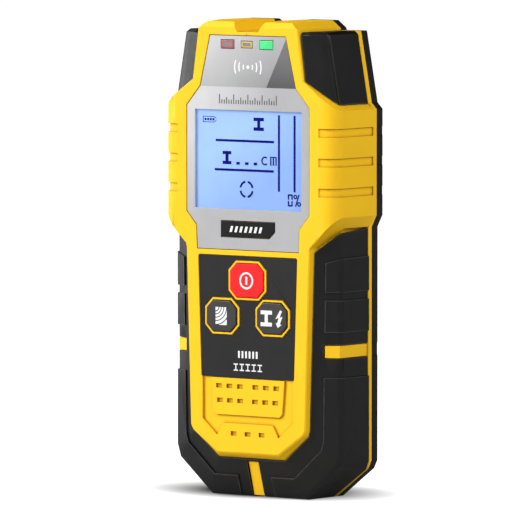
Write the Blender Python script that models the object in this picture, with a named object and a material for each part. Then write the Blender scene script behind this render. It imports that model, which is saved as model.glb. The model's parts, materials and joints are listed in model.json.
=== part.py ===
"""Hand-held stud finder (wall scanner), built as separate pieces.

The scanner stands upright on its flat bottom: +X to its right, +Z up its length, and the
front with its display faces -Y.  Sizes below are in millimetres, and `d` is the depth behind
the front face.  The origin is at the middle of the bottom.
"""
import math

import bmesh
import bpy
from mathutils import Vector

MM = 0.001
GAP = 0.3                   # clearance between touching pieces

# Driving dimensions
HEIGHT = 197.0
GLIDE_BACK = 35.0           # depth of the felt glides, the rearmost faces
BUTTON_PROUD = 0.8          # buttons stand this far out of the front face
PARTING = 29.2              # depth where the yellow shell ends
STRIP_FRONT = 26.8          # depth where the yellow strip along the parting line starts
BACK = 34.2                 # depth of the rear shell's flat back
BACK_CHAMFER = 0.9
BODY_HALF = 42.1            # half-width over the lower grip
BULGE_HALF = 44.6           # half-width over the side bulges
GRIP_SKIN = 2.0             # thickness of the rubber grips
WALL = 2.0                  # thickness of the shells
PLATE_STEP = 3.1            # the lower face plate stands this far above the grip
FRONT_CORNER = 8.0          # depth of the lower grip's front corner line
UPPER_CORNER = 6.0          # the same on the upper grips
FACE_WALL = 2.4             # depth of the front wall's inner face
RECESS = 1.4                # depth of the window's recess
WINDOW_FACE = 0.3           # depth of the window's face
BOARD_FRONT = 8.2
BOARD_THICK = 1.6
NOTCH_TOP_HALF = 8.3
NOTCH_FLOOR_HALF = 5.4
NOTCH_FLOOR_Z = 192.4
BROW_Z = 194.2              # where the slanted brow starts on the front face
BROW_SLOPE = 1.44           # its rise over its depth
CAVITY_TOP = NOTCH_FLOOR_Z - 2.2
LCD_HALF = 27.5
LCD_LOW = 119.3
LCD_HIGH = 160.1
BUTTONS = {                 # x, z, width and height over the yellow collar
    "power": (0.0, 90.0, 19.3, 16.1),
    "stud": (-13.0, 74.9, 17.5, 15.0),
    "metal": (13.0, 74.9, 17.5, 15.0),
}
BUTTON_CORNER = 3.8         # the collars' corners are cut this far each way
COLLAR = 0.8                # width of the yellow collar round a button
INDICATORS = {              # x, width, height
    "red": (-10.5, 6.5, 3.3),
    "amber": (-0.6, 5.5, 2.5),
    "green": (9.5, 6.5, 3.5),
}
INDICATOR_Z = 187.3
RIB_TOPS = (153.7, 141.5, 129.2)
RIB_HEIGHT = 3.6
BAND_LOW, BAND_HIGH = 59.3, 64.4    # the slot across each grip
BAND_START = 35.4           # where that slot starts on the grip's slanted front
KEY_HALF = 2.65             # half-width of the yellow key in the bottom
POCKET = 1.0                # depth of the keypad's pocket
RELIEF_DEPTH = POCKET
DIMPLE_WIDTH = 3.0
DIMPLE_HEIGHT = 1.85
DIMPLE_DEPTH = 0.9
DIMPLE_ROWS = [(46.0, (4.0, 9.4, 14.8)), (40.0, (3.8, 9.1, 14.3)), (26.4, (0.0, 7.2))]
LOWER_BEND = (2.2, 2.0)     # where the lower grip's bend starts and ends, from its corner
UPPER_BEND = (7.0, 1.6)     # the same on the upper grips
BEND_STEPS = 5
PAD_RISE = 0.7              # the grip's pads stand this far out
PAD_SHARE = 0.45            # where a pad starts, as a share of the slanted front
PADS = [((96.8, 100.2, 100.6), 86.3), ((83.0, 83.0, 83.0), 69.8)]
LONG_PAD_TOP = 51.2
UPPER_TOP = 193.0
UPPER_FLOOR = 190.7         # underside of the upper grip's top
UPPER_EDGE = 1.3            # the upper grips' top edges are cut back this far
# The upper grips' sections from the top down: x at the lip, at the side and inside.
UPPER_SECTIONS = [(26.6, 36.8, 33.9), (26.7, 37.1, 34.2), (28.95, 42.2, 39.6)]
CASE_SCREWS = [(38.0, 150.0), (34.4, 100.0), (33.4, 27.0)]
BOARD_SCREWS = [(20.5, 166.3), (20.5, 107.0)]
SENSOR_SCREWS = [(22.0, 124.0)]
SENSOR_POSTS = SENSOR_SCREWS + [(22.0, 182.0)]
COIL_Z = 166.0
COIL_INNER = 11.5
COIL_OUTER = 17.0
BATTERY_TOP = 57.3
BATTERY_MIDDLE = 22.2       # depth of the battery's middle
STUD_X = 6.35               # the battery's two studs, each side of its middle
LEAD_X = 2.6
GLIDE_R = 4.5
GLIDE_FRONT = 33.7
GLIDES = [(26.0, 178.0), (25.5, 14.5)]
DOOR_HALF = 14.1
DOOR_LOW = 10.0
HINGE_Z = 66.0
HINGE_D = 32.4
HINGE_R = 1.8
PIN_R = 0.75

FRONT_Y = -(GLIDE_BACK - BUTTON_PROUD) / 2

# Right half of each outline, from the top centre to the bottom centre, as (x, z).
FACE = [(0, 196.6), (21.6, 196.6), (25.7, 193.8), (25.9, 192.4), (26.3, 189.5), (28.6, 172.6),
        (37.3, 166.3), (37.3, 109.66), (32.2, 104.4), (31.8, 102.8), (29.6, 29.2), (28.4, 27.2),
        (15.8, 18.4), (0, 18.4)]
CORE = [(0, 197), (22, 197), (26, 194.0), (26.2, 190.4), (33.4, 190.4), (39.2, 164.9),
        (44.6, 161), (44.6, 117.2), (42.1, 112.6), (39.8, 112.6), (39.8, 20.2), (38.2, 15.9),
        (23.4, 2.3), (0, 2.3)]
FULL = [(0, 197), (22, 197), (26, 194.0), (26.3, 193), (36.6, 193), (42.1, 163.5),
        (44.6, 161), (44.6, 117.2), (42.1, 112.3), (42.1, 110.0), (42.1, 15.8), (40.5, 12.3),
        (24.6, 0), (0, 0)]
BULGE_TOP, BULGE_LOW = 6, 7         # the outline points on the bulge's corners
FLARE = {11: (0.5, -0.6), 12: (1.2, -2.1), 13: (0, -2.1)}   # how the low face points spread
BULGE_STEPS = 5
BULGE_DEPTH = 6.5
WINDOW = [(0, 190.8), (19.5, 190.8), (24.6, 169.7), (31.5, 161.8), (31.5, 118.0),
          (26.4, 112.2), (26.0, 102.6), (0, 102.6)]
KEYPAD = [(0, 99.9), (24.8, 99.9), (25.3, 99.3), (23.7, 50.2), (23.2, 49.6), (0, 49.6)]
RELIEF = [(0, 52.0), (23.4, 52.0), (23.4, 32.1), (16.5, 26.0), (15.7, 25.6), (12.9, 30.6),
          (0, 30.6)]
FINGER_PAD = [(0, 52.0), (19.1, 52.0), (17.7, 35.4), (16.3, 34.1), (0, 34.1)]

# The whole outline of the badge plate.
BADGE = [(-13.7, 107.75), (10.9, 107.75), (13.7, 110.4), (13.7, 114.25), (-13.7, 114.25)]

# Stations along the right half of the lower grip, each as the front lip's x and z, the side
# corner's x and z, the rear edge's z, and the direction (x, z) from the side wall inwards.
GRIP_PATH = [
    (32.1, 102.6, 42.1, 110.6, 111.9, (-1, 0)),
    (29.9, 29.2, 42.1, 19.8, 15.8, (-1, 0)),
    (29.1, 26.3, 40.5, 14.8, 12.3, (-0.92, 0.4)),
    (17.1, 16.0, 24.6, 0.0, 0.0, (-0.4, 1)),
    (0.0, 16.0, 0.0, 0.0, 0.0, (0, 1)),
]
PAD_END = (8.6, 16.0, 8.6, 0.0, 0.0, (0, 1))    # where the long pad stops beside the key


def point(x, d, z):
    """A point in metres from x, depth and z in millimetres."""
    return Vector((x, d + FRONT_Y, z)) * MM


# ---------------------------------------------------------------- materials

def make_material(name, colour, roughness, metallic=0.0):
    material = bpy.data.materials.new(name)
    material.use_nodes = True
    shader = material.node_tree.nodes["Principled BSDF"]
    shader.inputs["Base Color"].default_value = (*colour, 1.0)
    shader.inputs["Roughness"].default_value = roughness
    shader.inputs["Metallic"].default_value = metallic
    material.diffuse_color = (*colour, 1.0)
    return material


COLOURS = {
    "yellow": ((0.95, 0.62, 0.03), 0.42, 0.0),
    "black": ((0.03, 0.03, 0.032), 0.5, 0.0),
    "rubber": ((0.022, 0.022, 0.023), 0.75, 0.0),
    "window_grey": ((0.45, 0.45, 0.46), 0.18, 0.0),
    "badge_black": ((0.01, 0.01, 0.01), 0.35, 0.0),
    "lcd_blue": ((0.36, 0.6, 0.95), 0.1, 0.0),
    "backlight": ((0.8, 0.85, 0.9), 0.4, 0.0),
    "panel_grey": ((0.035, 0.035, 0.036), 0.45, 0.0),
    "button_red": ((0.85, 0.025, 0.025), 0.4, 0.0),
    "button_dark": ((0.02, 0.02, 0.02), 0.4, 0.0),
    "lens_red": ((0.7, 0.03, 0.02), 0.15, 0.0),
    "lens_amber": ((0.75, 0.42, 0.03), 0.15, 0.0),
    "lens_green": ((0.05, 0.6, 0.15), 0.15, 0.0),
    "led": ((0.9, 0.88, 0.8), 0.3, 0.0),
    "board_green": ((0.02, 0.16, 0.06), 0.4, 0.0),
    "chip_black": ((0.02, 0.02, 0.02), 0.5, 0.0),
    "copper": ((0.75, 0.36, 0.2), 0.3, 1.0),
    "steel": ((0.55, 0.55, 0.56), 0.3, 1.0),
    "battery_case": ((0.08, 0.09, 0.11), 0.3, 0.0),
    "wire_red": ((0.6, 0.02, 0.02), 0.5, 0.0),
    "wire_black": ((0.02, 0.02, 0.02), 0.5, 0.0),
    "foam": ((0.1, 0.1, 0.1), 0.95, 0.0),
    "felt": ((0.06, 0.06, 0.065), 0.95, 0.0),
}


# ---------------------------------------------------------------- mesh tools

def new_object(name, mesh, colour=None):
    piece = bpy.data.objects.new(name, mesh)
    bpy.context.scene.collection.objects.link(piece)
    if colour:
        material = bpy.data.materials.get(colour) or make_material(colour, *COLOURS[colour])
        mesh.materials.append(material)
    return piece


def mesh_from_bmesh(name, shape):
    bmesh.ops.recalc_face_normals(shape, faces=shape.faces)
    mesh = bpy.data.meshes.new(name)
    shape.to_mesh(mesh)
    shape.free()
    return mesh


def loft(name, rings, colour=None, closed=False):
    """A solid through rings of equal length; `closed` joins the last ring to the first.

    Its side faces are split into triangles, because a twisted one isn't flat.
    """
    shape = bmesh.new()
    rows = [[shape.verts.new(p) for p in ring] for ring in rings]
    count = len(rows[0])
    pairs = list(zip(rows, rows[1:]))
    if closed:
        pairs.append((rows[-1], rows[0]))
    for first, second in pairs:
        for i in range(count):
            j = (i + 1) % count
            shape.faces.new((first[i], first[j], second[j], second[i]))
    bmesh.ops.triangulate(shape, faces=shape.faces)
    if not closed:
        shape.faces.new(rows[0])
        shape.faces.new(list(reversed(rows[-1])))
    return new_object(name, mesh_from_bmesh(name, shape), colour)


def prism(name, outline, d_front, d_back, colour=None):
    """An outline of (x, z) points carried straight back from one depth to another."""
    rings = [[point(x, d, z) for x, z in outline] for d in (d_front, d_back)]
    return loft(name, rings, colour)


def box(name, x, d, z, colour=None):
    """A box from three (low, high) pairs."""
    outline = [(x[0], z[0]), (x[1], z[0]), (x[1], z[1]), (x[0], z[1])]
    return prism(name, outline, d[0], d[1], colour)


def round_outline(x, z, radius, segments=20):
    turn = 2 * math.pi / segments
    return [(x + radius * math.cos(turn * (i + 0.5)), z + radius * math.sin(turn * (i + 0.5)))
            for i in range(segments)]


def rod(name, x, z, radius, d_front, d_back, colour=None, segments=20):
    """A round rod that runs front to back."""
    return prism(name, round_outline(x, z, radius, segments), d_front, d_back, colour)


def cross_rod(name, x, d, z, radius, colour=None, segments=16):
    """A round rod that runs along X, between the pair x."""
    profile = round_outline(d, z, radius, segments)
    rings = [[point(end, depth, height) for depth, height in profile] for end in x]
    return loft(name, rings, colour)


def both_sides(half):
    """The whole closed outline from its right half."""
    left = [(-x, z) for x, z in reversed(half) if x > 0]
    return list(half) + left


def octagon(button, distance):
    """A button's eight-sided outline, a distance inside its collar's outer edge."""
    x, z, width, height = BUTTONS[button]
    w, h = width / 2 - distance, height / 2 - distance
    corner = BUTTON_CORNER - distance * (2 - math.sqrt(2))
    return [(x - w, z - h + corner), (x - w + corner, z - h), (x + w - corner, z - h),
            (x + w, z - h + corner), (x + w, z + h - corner), (x + w - corner, z + h),
            (x - w + corner, z + h), (x - w, z + h - corner)]


def inset(outline, distance):
    """The outline moved by a distance, with mitred corners.

    A clockwise outline moves inwards and a counter-clockwise one outwards.
    """
    result = []
    count = len(outline)
    for i in range(count):
        before = Vector(outline[i - 1])
        here = Vector(outline[i])
        after = Vector(outline[(i + 1) % count])
        way_in = (here - before).normalized()
        way_out = (after - here).normalized()
        normal_in = Vector((way_in.y, -way_in.x))
        normal_out = Vector((way_out.y, -way_out.x))
        middle = (normal_in + normal_out).normalized()
        reach = distance / max(middle.dot(normal_in), 0.3)
        result.append(tuple(here + middle * reach))
    return result


def combine(target, tools, operation):
    """Cut or weld a list of tools into the target, then remove the tools."""
    if len(tools) > 1:
        base = tools[0]
        for other in tools[1:]:
            shape = bmesh.new()
            shape.from_mesh(base.data)
            shape.from_mesh(other.data)
            shape.to_mesh(base.data)
            shape.free()
    tool = tools[0]
    tool.hide_render = True
    tool.display_type = "WIRE"
    modifier = target.modifiers.new("shape", "BOOLEAN")
    modifier.operation = operation
    modifier.object = tool
    modifier.solver = "EXACT"
    modifier.use_self = len(tools) > 1
    graph = bpy.context.evaluated_depsgraph_get()
    result = bpy.data.meshes.new_from_object(target.evaluated_get(graph))
    target.modifiers.clear()
    target.data = result
    for old in tools:
        bpy.data.objects.remove(old)


def cut(target, *tools):
    combine(target, list(tools), "DIFFERENCE")


def weld(target, *tools):
    combine(target, list(tools), "UNION")


def mirrored(places):
    return [(side * x, z) for x, z in places for side in (-1, 1)]


# ---------------------------------------------------------------- front shell

def corner_rings():
    """Rings of the front shell from its face to where the grips' inner faces end."""
    rings = []
    for step in range(BULGE_STEPS + 1):
        share = step / BULGE_STEPS
        turn = share * math.pi / 2
        ring = []
        for i, (x, z) in enumerate(FACE):
            if i in (BULGE_TOP, BULGE_LOW):
                end_x, end_z = FULL[i]
                out = math.sin(turn)
                ring.append((x + (end_x - x) * out, BULGE_DEPTH * (1 - math.cos(turn)),
                             z + (end_z - z) * out))
            else:
                skin = PLATE_STEP if i > BULGE_LOW else 1.0
                d = 0.5 + share * (skin + GRIP_SKIN + GAP - 0.5)
                spread = min(d / PLATE_STEP, 1.0)
                dx, dz = FLARE.get(i, (0, 0))
                ring.append((x + dx * spread, d, z + dz * spread))
        rings.append(ring)
    return rings


def whole_ring(half):
    """A whole ring of points from its right half of (x, d, z)."""
    left = [(-x, d, z) for x, d, z in reversed(half) if x > 0]
    return [point(*p) for p in half + left]


def flat_ring(outline, d):
    return [point(x, d, z) for x, z in outline]


def make_cavity(name):
    """The room inside the front shell."""
    def lowered(outline):
        return [(x, min(z, CAVITY_TOP)) for x, z in outline]
    near = lowered(inset(both_sides(FACE), WALL + 0.2))
    far = lowered(inset(both_sides(CORE), WALL))
    return loft(name, [flat_ring(near, FACE_WALL), flat_ring(near, 7.8),
                       flat_ring(far, 11.9), flat_ring(far, PARTING + 1)])


def make_front_shell():
    face = both_sides(FACE)
    rings = [flat_ring(inset(face, 0.5), 0.0)]
    rings += [whole_ring(ring) for ring in corner_rings()]
    core_depth = FRONT_CORNER + GRIP_SKIN + GAP
    rings.append(flat_ring(both_sides(CORE), core_depth))
    rings.append(flat_ring(both_sides(CORE), STRIP_FRONT))
    rings.append(flat_ring(both_sides(FULL), STRIP_FRONT))
    rings.append(flat_ring(both_sides(FULL), PARTING))
    shell = loft("front_shell", rings, "yellow")
    cut(shell, make_cavity("cavity"))
    bosses = [rod("boss", x, z, 2.9, 9.2, PARTING - GAP) for x, z in mirrored(CASE_SCREWS)]
    bosses += [rod("boss", x, z, 2.1, 1.9, BOARD_FRONT - GAP)
               for x, z in mirrored(BOARD_SCREWS)]
    weld(shell, *bosses)
    bores = [rod("bore", x, z, 1.2, 15, PARTING) for x, z in mirrored(CASE_SCREWS)]
    bores += [rod("bore", x, z, 1.0, 3.2, BOARD_FRONT) for x, z in mirrored(BOARD_SCREWS)]
    cut(shell, *bores)
    weld(shell, *yellow_bands(), bottom_key())
    cut(shell, *rib_slots())
    cut(shell, prism("recess", inset(both_sides(WINDOW), -GAP), -1, RECESS))
    cut(shell, *window_openings())
    cut(shell, notch_channel(-1, PARTING + 1), face_relief())
    cut(shell, brow_wedge())
    weld(shell, finger_pad())
    cut(shell, *dimples())
    cut(shell, prism("pocket", inset(both_sides(KEYPAD), -GAP), -1, POCKET))
    weld(shell, *collars())
    cut(shell, *button_wells())
    return shell


def yellow_bands():
    """The bars of yellow shell that show in the slot across each grip."""
    bands = []
    for side in (-1, 1):
        sketch = [(BAND_START + GAP, 5.4), (41.5, 7.9), (41.5, STRIP_FRONT + 0.5),
                  (38.8, STRIP_FRONT + 0.5), (38.8, 10.4), (BAND_START + GAP, 8.7)]
        rings = [[point(side * x, d, z) for x, d in sketch] for z in (BAND_LOW, BAND_HIGH)]
        bands.append(loft("band", rings))
    return bands


def bottom_key():
    """The yellow key in the middle of the bottom, seen between the grip's two halves."""
    profile = [(4.3, 14.8), (FRONT_CORNER + 0.3, 0.7), (STRIP_FRONT + 0.5, 0.7),
               (STRIP_FRONT + 0.5, 3.4), (10, 3.4), (7.0, 14.8)]
    rings = [[point(x, d, z) for d, z in profile] for x in (-KEY_HALF, KEY_HALF)]
    return loft("key", rings)


def rib_slots():
    """Three level slots across each side bulge, round its front corner."""
    slots = []
    for side in (-1, 1):
        for z in RIB_TOPS:
            profile = [(35.6, -1.0), (50, -1.0), (50, STRIP_FRONT), (44.0, STRIP_FRONT),
                       (44.0, 6.8), (43.2, 3.9), (41.6, 2.1), (39.2, 0.95), (36.6, 0.55)]
            rings = [[point(side * x, d, height) for x, d in profile]
                     for height in (z - RIB_HEIGHT, z)]
            slots.append(loft("slot", rings))
    return slots


def window_openings():
    """Openings in the recess floor for the display and the indicators."""
    openings = [box("opening", (-29.5, 29.5), (-1, 5), (116.4, 163.0))]
    for x, width, height in INDICATORS.values():
        low, high = INDICATOR_Z - height / 2, INDICATOR_Z + height / 2
        openings.append(box("opening", (x - width / 2 - GAP, x + width / 2 + GAP), (-1, 5),
                            (low - GAP, high + GAP)))
    return openings


def brow_wedge():
    """What the slanted brow takes off the top front edge."""
    low, high = -1.0, 4.0
    profile = [(low, BROW_Z + BROW_SLOPE * low), (low, HEIGHT + 8), (high, HEIGHT + 8),
               (high, BROW_Z + BROW_SLOPE * high)]
    return loft("brow", [[point(x, d, z) for d, z in profile] for x in (-45, 45)])


def notch_channel(d_front, d_back):
    """The marking notch, a channel across the top from front to back."""
    slope = (NOTCH_TOP_HALF - NOTCH_FLOOR_HALF) / (HEIGHT - NOTCH_FLOOR_Z)
    above = HEIGHT + 2
    top_half = NOTCH_TOP_HALF + slope * (above - HEIGHT)
    outline = [(-NOTCH_FLOOR_HALF, NOTCH_FLOOR_Z), (NOTCH_FLOOR_HALF, NOTCH_FLOOR_Z),
               (top_half, above), (-top_half, above)]
    return prism("notch", outline, d_front, d_back)


def face_relief():
    """The shallow recess low on the face, round the raised finger pad."""
    return prism("relief", both_sides(RELIEF), -1, RELIEF_DEPTH)


def finger_pad():
    return prism("pad", both_sides(FINGER_PAD), 0.0, RELIEF_DEPTH + 0.4)


def dimples():
    w, h = DIMPLE_WIDTH / 2, DIMPLE_HEIGHT / 2
    places = sorted({(side * x, z) for z, row in DIMPLE_ROWS for x in row for side in (-1, 1)})
    return [box("dimple", (x - w, x + w), (-1, DIMPLE_DEPTH), (z - h, z + h)) for x, z in places]


def collars():
    return [prism("collar", octagon(name, 0), -0.2, POCKET + 0.3) for name in BUTTONS]


def button_wells():
    return [prism("well", octagon(name, COLLAR), -1, 5) for name in BUTTONS]


# ---------------------------------------------------------------- grips

def rounded(before, corner, after, reach):
    """Points on a smooth bend, with how far before and after the corner it starts and ends."""
    corner = Vector(corner)
    start = corner + (Vector(before) - corner).normalized() * reach[0]
    end = corner + (Vector(after) - corner).normalized() * reach[1]
    bend = []
    for step in range(BEND_STEPS + 1):
        t = step / BEND_STEPS
        bend.append(tuple(start * (1 - t) ** 2 + corner * (2 * t * (1 - t)) + end * t * t))
    return bend


def skin_section(outer, inner, reach):
    """A skin's section from its (lip, corner, rear) points, round outside and sharp inside."""
    return [outer[0], *rounded(*outer, reach), outer[2], *reversed(inner)]


def grip_section(station):
    """One section through the lower grip's skin, from its front lip round to its rear edge."""
    x_lip, z_lip, x_side, z_side, z_rear, inward = station
    ix, iz = inward[0] * GRIP_SKIN, inward[1] * GRIP_SKIN
    rear = STRIP_FRONT - GAP
    outer = [(x_lip, PLATE_STEP, z_lip), (x_side, FRONT_CORNER, z_side), (x_side, rear, z_rear)]
    inner = [(x_lip, PLATE_STEP + GRIP_SKIN, z_lip),
             (x_side + ix, FRONT_CORNER + GRIP_SKIN, z_side + iz),
             (x_side + ix, rear, z_rear + iz)]
    return skin_section(outer, inner, LOWER_BEND)


def pad_section(station, rise_side=PAD_RISE):
    """One section through a raised pad, sunk a little into the grip's skin."""
    x_lip, z_lip, x_side, z_side, z_rear, inward = station
    ix, iz = inward
    x_start = x_lip + (x_side - x_lip) * PAD_SHARE
    z_start = z_lip + (z_side - z_lip) * PAD_SHARE
    d_start = PLATE_STEP + (FRONT_CORNER - PLATE_STEP) * PAD_SHARE
    rear = STRIP_FRONT - GAP
    outer = [(x_start, d_start - PAD_RISE, z_start),
             (x_side - ix * rise_side, FRONT_CORNER - 0.42, z_side - iz * rise_side),
             (x_side - ix * rise_side, rear, z_rear - iz * rise_side)]
    return [(x_start, d_start + 0.8, z_start), outer[0], *rounded(*outer, LOWER_BEND),
            outer[2], (x_side + ix, rear, z_rear + iz),
            (x_side + ix, FRONT_CORNER + 1.2, z_side + iz)]


def at_height(z_lip, z_side, z_rear):
    """A station on the grip's straight side, at the given heights."""
    top, low = GRIP_PATH[0], GRIP_PATH[1]
    share = (top[1] - z_lip) / (top[1] - low[1])
    return (top[0] + (low[0] - top[0]) * share, z_lip, top[2], z_side, z_rear, (-1, 0))


def sided(name, sections, side):
    return loft(name, [[point(side * x, d, z) for x, d, z in row] for row in sections])


def grip_pads():
    pads = []
    for side in (-1, 1):
        for high, low in PADS:
            rows = [pad_section(at_height(*high)), pad_section(at_height(low, low, low))]
            pads.append(sided("pad", rows, side))
        top = (LONG_PAD_TOP,) * 3
        rows = [pad_section(at_height(*top)), pad_section(GRIP_PATH[1]),
                pad_section(GRIP_PATH[2]), pad_section(GRIP_PATH[3], 0.0),
                pad_section(PAD_END, 0.0)]
        pads.append(sided("pad", rows, side))
    return pads


def make_lower_grip():
    """The U-shaped rubber grip, lofted from its left end down and round to its right end."""
    right = [grip_section(station) for station in GRIP_PATH]
    left = [[(-x, d, z) for x, d, z in row] for row in right[:-1]]
    rows = left + right[::-1]
    grip = loft("lower_grip", [[point(*p) for p in row] for row in rows], "rubber")
    weld(grip, *grip_pads())
    tools = []
    for side in (-1, 1):
        sketch = [(BAND_START, -2), (50, -2), (50, 30), (36, 30), (BAND_START, 12)]
        rings = [[point(side * x, d, z) for x, d in sketch]
                 for z in (BAND_LOW - GAP, BAND_HIGH + GAP)]
        tools.append(loft("slot", rings))
    key = KEY_HALF + GAP
    tools.append(box("slot", (-key, key), (-2, STRIP_FRONT + 1), (-2, 15.2)))
    cut(grip, *tools)
    return grip


def bulge_top(x):
    """Height of the bulge's slanted top at a distance x from the middle."""
    (x_low, z_low), (x_high, z_high) = FULL[BULGE_TOP], FACE[BULGE_TOP - 1]
    return z_low + (x_low - x) * (z_high - z_low) / (x_low - x_high)


def make_upper_grip(side):
    """A rubber block beside the top, hollow towards the shell under it."""
    name = "upper_grip_right" if side > 0 else "upper_grip_left"
    rear = STRIP_FRONT - GAP
    rows = []
    heights = (UPPER_TOP, UPPER_TOP - UPPER_EDGE, None)
    for (x_lip, x_side, x_inner), z in zip(UPPER_SECTIONS, heights):
        cut_back = UPPER_EDGE if z == UPPER_TOP else 0
        outer = [(x_lip, 1.0 + cut_back, 0), (x_side - cut_back, UPPER_CORNER + cut_back / 2, 0),
                 (x_side - cut_back, rear, 0)]
        inner = [(x_lip, 1.0 + GRIP_SKIN, 0), (x_inner, FRONT_CORNER + GRIP_SKIN, 0),
                 (x_inner, rear, 0)]
        section = skin_section(outer, inner, UPPER_BEND)
        rows.append([point(side * x, d, z or bulge_top(x) + 0.4) for x, d, _ in section])
    grip = loft(name, rows, "rubber")
    lid = [(26.9, 2.6), (34.4, 7.2), (34.4, rear), (26.9, rear)]
    rings = [[point(side * x, d, z) for x, d in lid] for z in (UPPER_FLOOR, UPPER_TOP)]
    weld(grip, loft("lid", rings))
    return grip


# ---------------------------------------------------------------- front face pieces

def make_window():
    window = prism("display_window", both_sides(WINDOW), WINDOW_FACE, RECESS - GAP, "window_grey")
    holes = [box("hole", (-LCD_HALF, LCD_HALF), (-1, 3), (LCD_LOW, LCD_HIGH)),
             prism("hole", inset(BADGE, GAP), -1, 3)]
    for x, width, height in INDICATORS.values():
        low, high = INDICATOR_Z - height / 2, INDICATOR_Z + height / 2
        holes.append(box("hole", (x - width / 2 - GAP, x + width / 2 + GAP), (-1, 3),
                         (low - GAP, high + GAP)))
    cut(window, *holes)
    return window


def make_display():
    prism("badge_plate", BADGE, 0.15, RECESS - GAP, "badge_black")
    box("lcd_glass", (-29, 29), (RECESS, 3.4), (117.0, 162.4), "lcd_blue")
    box("lcd_backlight", (-28, 28), (3.7, 6.7), (118.0, 161.4), "backlight")


def make_indicators():
    for name, (x, width, height) in INDICATORS.items():
        low, high = INDICATOR_Z - height / 2, INDICATOR_Z + height / 2
        box(f"indicator_lens_{name}", (x - width / 2, x + width / 2), (0.2, 4.4), (low, high),
            f"lens_{name}")
        box(f"indicator_led_{name}", (x - 1.6, x + 1.6), (4.8, BOARD_FRONT - GAP),
            (INDICATOR_Z - 1.2, INDICATOR_Z + 1.2), "led")


def make_keypad():
    panel = prism("keypad_panel", both_sides(KEYPAD), 0.25, POCKET - GAP, "panel_grey")
    cut(panel, *[prism("hole", octagon(name, -GAP), -1, 2) for name in BUTTONS])
    for name, (x, z, _, _) in BUTTONS.items():
        colour = "button_red" if name == "power" else "button_dark"
        cap = prism(f"{name}_button", octagon(name, COLLAR + GAP), -BUTTON_PROUD, 3.2, colour)
        weld(cap, prism("flange", octagon(name, GAP), 2.7, 3.7))
        switch = box(f"{name}_switch", (x - 3, x + 3), (5.3, BOARD_FRONT - GAP), (z - 3, z + 3),
                     "chip_black")
        weld(switch, rod("stem", x, z, 1.6, 4.8, 5.6, segments=16))


# ---------------------------------------------------------------- electronics

def make_screw(name, x, z, head, shank, top, under, tip):
    """A screw from its slotted top, by its head's underside, to its tip, as depths."""
    way = 1 if top > under else -1
    low, high = sorted((top, under))
    screw = rod(name, x, z, head, low, high, "steel")
    low, high = sorted((under + 0.3 * way, tip))
    weld(screw, rod("shank", x, z, shank, low, high, segments=12))
    low, high = sorted((top - 0.7 * way, top + way))
    cut(screw, box("slot", (x - 1.2, x + 1.2), (low, high), (z - 0.25, z + 0.25)),
        box("slot", (x - 0.25, x + 0.25), (low, high), (z - 1.2, z + 1.2)))
    return screw


def make_boards():
    half = [(0, 189.4), (17.0, 189.4), (17.0, 170.0), (24.0, 170.0), (29.5, 163.0),
            (29.5, 114.0), (25.5, 104.0), (25.5, 64.0), (0, 64.0)]
    back = BOARD_FRONT + BOARD_THICK
    board = prism("main_board", both_sides(half), BOARD_FRONT, back, "board_green")
    cut(board, *[rod("hole", x, z, 1.0, 7, 12, segments=12) for x, z in mirrored(BOARD_SCREWS)])
    for i, (x, z) in enumerate(mirrored(BOARD_SCREWS), 1):
        make_screw(f"board_screw_{i}", x, z, 1.7, 0.7, back + 1.5, back + GAP, 4.0)
    box("microcontroller", (3, 13), (back + GAP, back + 1.7), (135, 145), "chip_black")
    rod("buzzer", -14, 150, 6.0, back + GAP, back + 5.5, "chip_black", segments=28)
    box("board_header", (-6, 6), (back + GAP, 27.7), (128, 131), "chip_black")
    sensor = box("sensor_board", (-26, 26), (28.0, 29.6), (120, 186), "board_green")
    cut(sensor, *[rod("hole", x, z, 1.0, 27, 31, segments=12) for x, z in mirrored(SENSOR_SCREWS)])
    for i, (x, z) in enumerate(mirrored(SENSOR_SCREWS), 1):
        make_screw(f"sensor_screw_{i}", x, z, 1.7, 0.7, 26.5, 27.7, 31.5)
    make_coil()


def make_coil():
    """The flat detection coil, a ring just inside the rear shell."""
    profile = [(COIL_INNER, 29.9), (COIL_OUTER, 29.9), (COIL_OUTER, 31.7), (COIL_INNER, 31.7)]
    rings = []
    segments = 36
    for i in range(segments):
        turn = 2 * math.pi * i / segments
        rings.append([point(r * math.cos(turn), d, COIL_Z + r * math.sin(turn))
                      for r, d in profile])
    loft("detection_coil", rings, "copper", closed=True)


# ---------------------------------------------------------------- battery

def upright_rod(name, x, d, z, radius, segments=16):
    """A round rod that stands up, between the pair z."""
    profile = round_outline(x, d, radius, segments)
    return loft(name, [[point(px, pd, height) for px, pd in profile] for height in z])


def make_battery():
    battery = box("battery_9v", (-13.2, 13.2), (13.5, 30.9), (10.9, BATTERY_TOP), "battery_case")
    studs = [upright_rod("stud", x, BATTERY_MIDDLE, (BATTERY_TOP - 1, BATTERY_TOP + 2), r)
             for x, r in ((-STUD_X, 3.6), (STUD_X, 2.9))]
    weld(battery, *studs)
    snap = box("battery_snap", (-12.8, 12.8), (16.2, 28.2), (BATTERY_TOP + GAP, 60.9),
               "chip_black")
    sockets = [upright_rod("socket", x, BATTERY_MIDDLE, (BATTERY_TOP - 1, BATTERY_TOP + 2.4), 4.0)
               for x in (-STUD_X, STUD_X)]
    cut(snap, *sockets)
    bay = box("battery_bay", (-15.4, 15.4), (12.0, 31.9), (9.2, 62.8), "black")
    cut(bay, box("room", (-14.0, 14.0), (13.2, 40.0), (10.6, 61.6)))
    cut(bay, box("slot", (-5.0, 5.0), (15.5, 22.0), (60.0, 65.0)))
    for name, side in (("red", 1), ("black", -1)):
        make_lead(name, side)


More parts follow.
